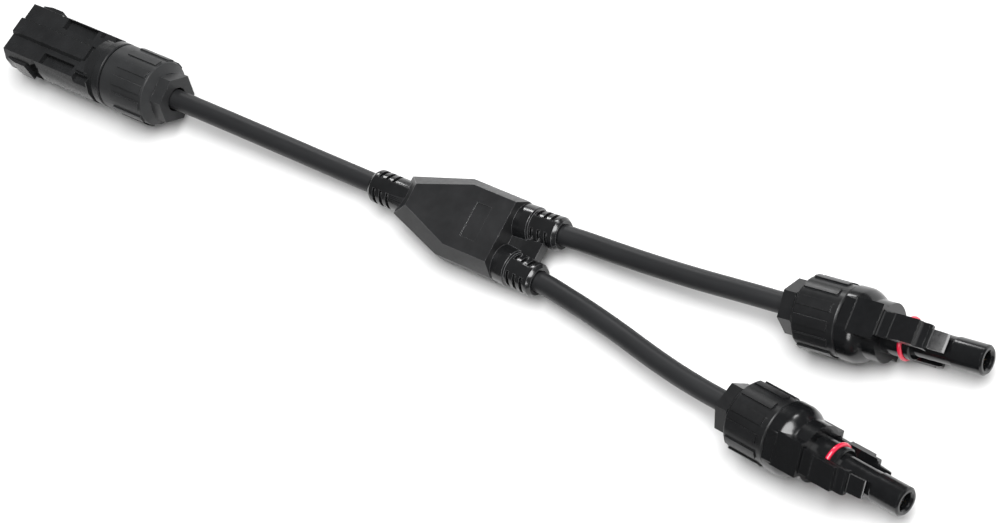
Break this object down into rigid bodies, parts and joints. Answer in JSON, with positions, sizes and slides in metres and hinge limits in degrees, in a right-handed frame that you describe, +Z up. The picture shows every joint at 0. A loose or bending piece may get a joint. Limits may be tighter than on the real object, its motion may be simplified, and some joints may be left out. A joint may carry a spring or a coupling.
{
  "type": "photovoltaic branch lead",
  "caption": "Branch lead for solar panels: a moulded splitter joins one pin coupler to two socket couplers by short black cables, with gland nuts, red seals and latch arms.",
  "frame": {"origin": "under the middle of the splitter, on the surface that the lead rests on", "axes": "+Z up, +X from the splitter towards the socket couplers, -X towards the pin coupler"},
  "size_m": [0.3194, 0.0527, 0.0196],
  "materials": {
    "nut_plastic": "satin black moulded polyamide",
    "housing_plastic": "semi-gloss black moulded polyphenylene",
    "splitter_plastic": "satin black overmoulding",
    "red_seal": "glossy red silicone",
    "gland_rubber": "matt silicone",
    "cage_plastic": "plain moulded",
    "cable_jacket": "matt extruded jacket",
    "core_insulation": "plain extruded insulation",
    "tinned_copper": "tinned copper strand",
    "contact_spring": "bright spring copper",
    "tin_plate": "bright tin plate"
  },
  "bodies": {
    "lead": {"splitter_body": "splitter_plastic", "splice_ferrule": "tin_plate", "main_cable_jacket": "cable_jacket", "cable_a_jacket": "cable_jacket", "cable_b_jacket": "cable_jacket", "main_cable_core": "core_insulation", "cable_a_core": "core_insulation", "cable_b_core": "core_insulation", "main_conductor": "tinned_copper", "cable_a_conductor": "tinned_copper", "cable_b_conductor": "tinned_copper", "pin_housing": "housing_plastic", "pin_contact": "tin_plate", "pin_gland_seal": "gland_rubber", "socket_a_housing": "housing_plastic", "socket_a_nose_seal": "red_seal", "socket_a_contact": "tin_plate", "socket_a_contact_band": "contact_spring", "socket_a_gland_seal": "gland_rubber", "socket_b_housing": "housing_plastic", "socket_b_nose_seal": "red_seal", "socket_b_contact": "tin_plate", "socket_b_contact_band": "contact_spring", "socket_b_gland_seal": "gland_rubber"},
    "pin_clamp": {"pin_clamp_cage": "cage_plastic"},
    "pin_nut": {"pin_gland_nut": "nut_plastic"},
    "socket_a_clamp": {"socket_a_clamp_cage": "cage_plastic"},
    "socket_a_nut": {"socket_a_gland_nut": "nut_plastic"},
    "socket_a_latch_upper": {"socket_a_latch_upper": "housing_plastic"},
    "socket_a_latch_lower": {"socket_a_latch_lower": "housing_plastic"},
    "socket_b_clamp": {"socket_b_clamp_cage": "cage_plastic"},
    "socket_b_nut": {"socket_b_gland_nut": "nut_plastic"},
    "socket_b_latch_upper": {"socket_b_latch_upper": "housing_plastic"},
    "socket_b_latch_lower": {"socket_b_latch_lower": "housing_plastic"}
  },
  "joints": [
    {"name": "pin_nut_travel", "type": "slide", "parent": "lead", "child": "pin_clamp", "axis": [1, 0, 0], "range_m": [0, 0.003]},
    {"name": "pin_nut_turn", "type": "hinge", "parent": "pin_clamp", "child": "pin_nut", "pos_m": [-0.1041, 0, 0.0097], "axis": [1, 0, 0], "range_deg": [0, 720]},
    {"name": "socket_a_nut_travel", "type": "slide", "parent": "lead", "child": "socket_a_clamp", "axis": [-0.9945, -0.1045, 0], "range_m": [0, 0.003]},
    {"name": "socket_a_nut_turn", "type": "hinge", "parent": "socket_a_clamp", "child": "socket_a_nut", "pos_m": [0.098, 0.012, 0.0097], "axis": [-0.9945, -0.1045, 0], "range_deg": [0, 720]},
    {"name": "socket_a_latch_upper_press", "type": "hinge", "parent": "lead", "child": "socket_a_latch_upper", "pos_m": [0.12784, 0.01514, 0.0167], "axis": [-0.1045, 0.9945, 0], "range_deg": [0, 4], "stiffness_Nm_per_rad": 1},
    {"name": "socket_a_latch_lower_press", "type": "hinge", "parent": "lead", "child": "socket_a_latch_lower", "pos_m": [0.12784, 0.01514, 0.0027], "axis": [0.1045, -0.9945, 0], "range_deg": [0, 4], "stiffness_Nm_per_rad": 1},
    {"name": "socket_b_nut_travel", "type": "slide", "parent": "lead", "child": "socket_b_clamp", "axis": [-0.9965, 0.0837, 0], "range_m": [0, 0.003]},
    {"name": "socket_b_nut_turn", "type": "hinge", "parent": "socket_b_clamp", "child": "socket_b_nut", "pos_m": [0.0957, -0.017, 0.0097], "axis": [-0.9965, 0.0837, 0], "range_deg": [0, 720]},
    {"name": "socket_b_latch_upper_press", "type": "hinge", "parent": "lead", "child": "socket_b_latch_upper", "pos_m": [0.12528, -0.02331, 0.01557], "axis": [0.0702, 0.8357, 0.5446], "range_deg": [0, 4], "stiffness_Nm_per_rad": 1},
    {"name": "socket_b_latch_lower_press", "type": "hinge", "parent": "lead", "child": "socket_b_latch_lower", "pos_m": [0.12591, -0.01571, 0.00383], "axis": [-0.0702, -0.8357, -0.5446], "range_deg": [0, 4], "stiffness_Nm_per_rad": 1}
  ],
  "couplings": [
    {"joint": "pin_nut_turn", "follows": "pin_nut_travel", "rad_per_m": 4188.8},
    {"joint": "socket_a_nut_turn", "follows": "socket_a_nut_travel", "rad_per_m": 4188.8},
    {"joint": "socket_b_nut_turn", "follows": "socket_b_nut_travel", "rad_per_m": 4188.8}
  ]
}
